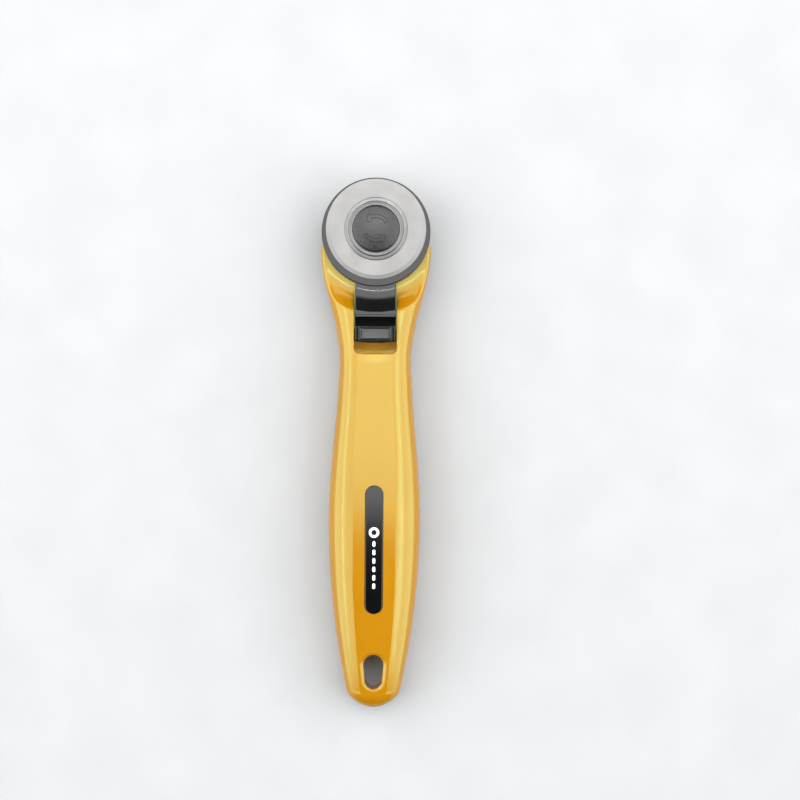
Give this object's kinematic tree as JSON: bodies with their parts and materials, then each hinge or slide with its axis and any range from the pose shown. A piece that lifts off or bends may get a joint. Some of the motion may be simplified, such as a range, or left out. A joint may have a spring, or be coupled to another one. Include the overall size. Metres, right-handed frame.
{
  "type": "rotary cutter",
  "caption": "Hand-held rotary fabric cutter: round blade on a keyed bolt, thumb-operated sliding guard, waisted hollow handle with a hanging slot and a screw-on knob behind the head.",
  "frame": {"origin": "middle of the cutter's length and width, on the surface it lies on when it rests on its back", "axes": "+Z out of the blade's face, along the bolt's axis; +Y along the handle towards the blade; +X to the right when seen from the blade's face with the blade at the top"},
  "size_m": [0.031, 0.148, 0.017],
  "materials": {
    "yellow_body": "moulded, glossy",
    "black_guard": "moulded, semi-gloss",
    "black_button": "moulded, glossy",
    "grip_insert": "textured",
    "badge_black": "glossy inlay",
    "cap_grey": "fine matte",
    "knob_black": "fine matte",
    "carriage_black": "plain moulded",
    "blade_steel": "ground and polished",
    "turned_steel": "turned",
    "flange_steel": "stamped, satin",
    "screw_steel": "zinc plated",
    "spring_steel": "bright spring strip",
    "insert_brass": "turned"
  },
  "bodies": {
    "handle": {"handle_front_shell": "yellow_body", "handle_back_shell": "yellow_body", "shell_screws": "screw_steel", "handle_badge": "badge_black", "pivot_bush": "turned_steel", "wave_washer": "spring_steel", "bolt_shaft": "turned_steel", "bolt_flange": "flange_steel", "bolt_cap": "cap_grey", "detent_spring": "spring_steel"},
    "guard_slider": {"guard": "black_guard", "guard_carriage": "carriage_black", "carriage_screws": "screw_steel", "button_spring": "spring_steel"},
    "button": {"thumb_button": "black_button", "button_grip": "grip_insert"},
    "blade_disc": {"blade": "blade_steel"},
    "knob_washer": {"nut_washer": "flange_steel"},
    "knob": {"nut_knob": "knob_black", "nut_insert": "insert_brass"}
  },
  "joints": [
    {"name": "guard_slide", "type": "slide", "parent": "handle", "child": "guard_slider", "axis": [0, -1, 0], "range_m": [0, 0.0027]},
    {"name": "button_press", "type": "slide", "parent": "guard_slider", "child": "button", "axis": [0, 0, -1], "range_m": [0, 0.0008], "stiffness_N_per_m": 400, "springref_m": -0.0004, "deforming": ["button_spring"]},
    {"name": "blade_spin", "type": "hinge", "parent": "handle", "child": "blade_disc", "pos_m": [0, 0.0597, 0.01348], "axis": [0, 0, 1], "continuous": true},
    {"name": "nut_back_off", "type": "slide", "parent": "handle", "child": "knob_washer", "axis": [0, 0, -1], "range_m": [0, 0.0042]},
    {"name": "nut_turn", "type": "hinge", "parent": "knob_washer", "child": "knob", "pos_m": [0, 0.0597, 0.0026], "axis": [0, 0, -1], "range_deg": [0, 2160]}
  ],
  "couplings": [
    {"joint": "nut_turn", "follows": "nut_back_off", "rad_per_m": 8975.9}
  ]
}
